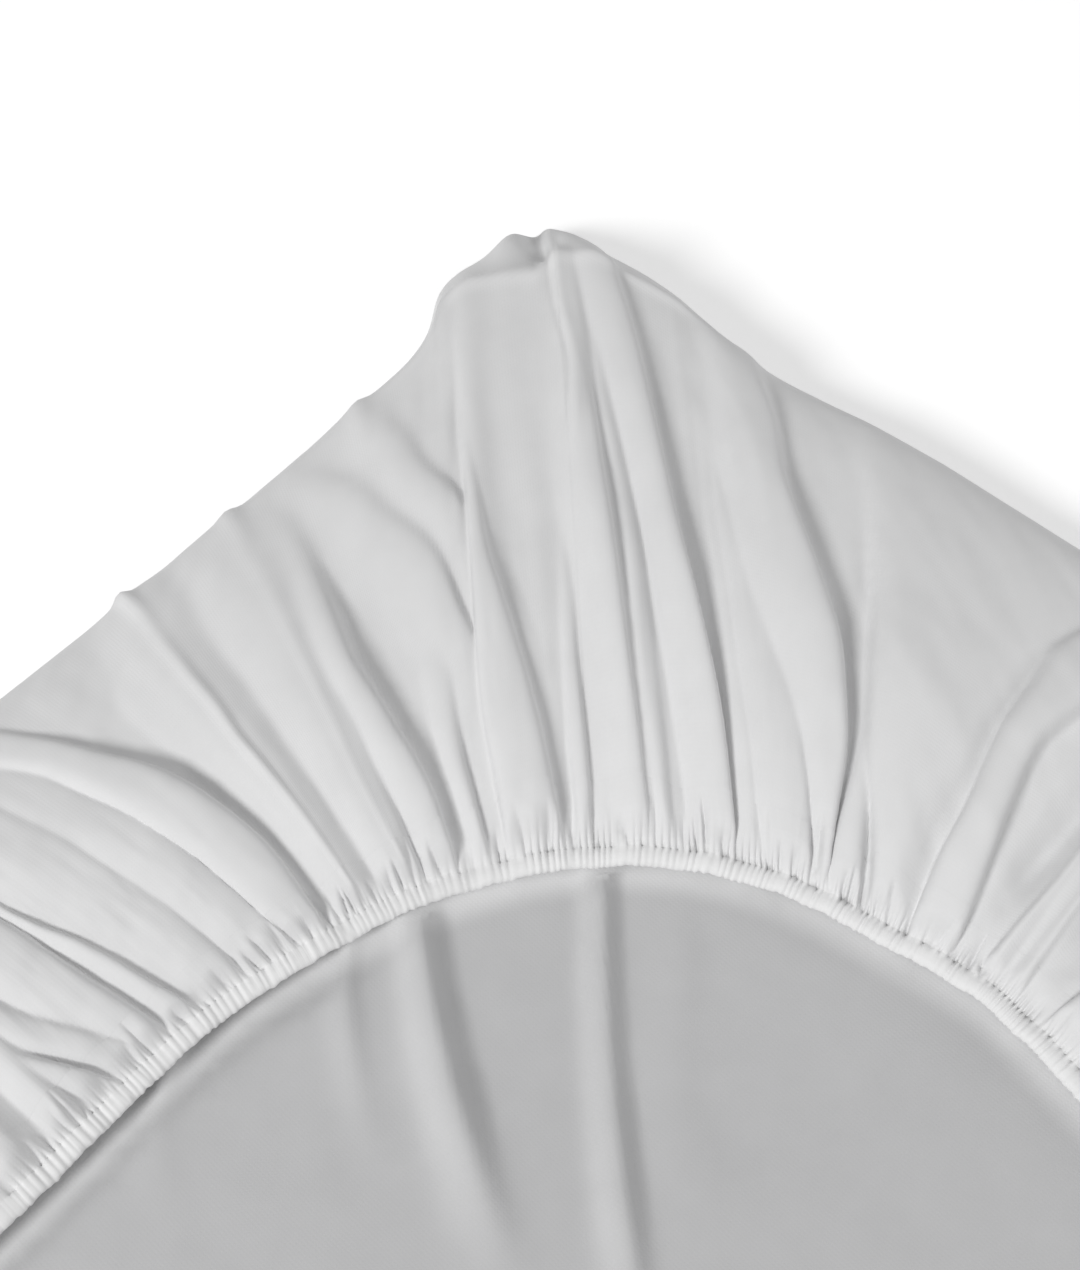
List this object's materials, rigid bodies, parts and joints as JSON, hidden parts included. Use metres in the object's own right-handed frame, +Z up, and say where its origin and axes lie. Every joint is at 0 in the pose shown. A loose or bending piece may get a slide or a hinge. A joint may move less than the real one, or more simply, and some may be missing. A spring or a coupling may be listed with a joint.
{
  "type": "fitted mattress protector",
  "caption": "White fitted mattress protector lying empty with its top panel down, its skirt folded inward and gathered along an elastic hem.",
  "frame": {"origin": "under the middle of the protector, on the surface that it lies on", "axes": "+X along the bed, +Y across the bed, +Z up from the panel to the open side"},
  "size_m": [2.0546, 0.9384, 0.0672],
  "materials": {
    "cloth": "fine plain weave, matt, white",
    "elastic": "gathered elastic edge, matt, white"
  },
  "bodies": {
    "root": {"cloth": "cloth", "elastic_hem": "elastic"}
  },
  "joints": []
}
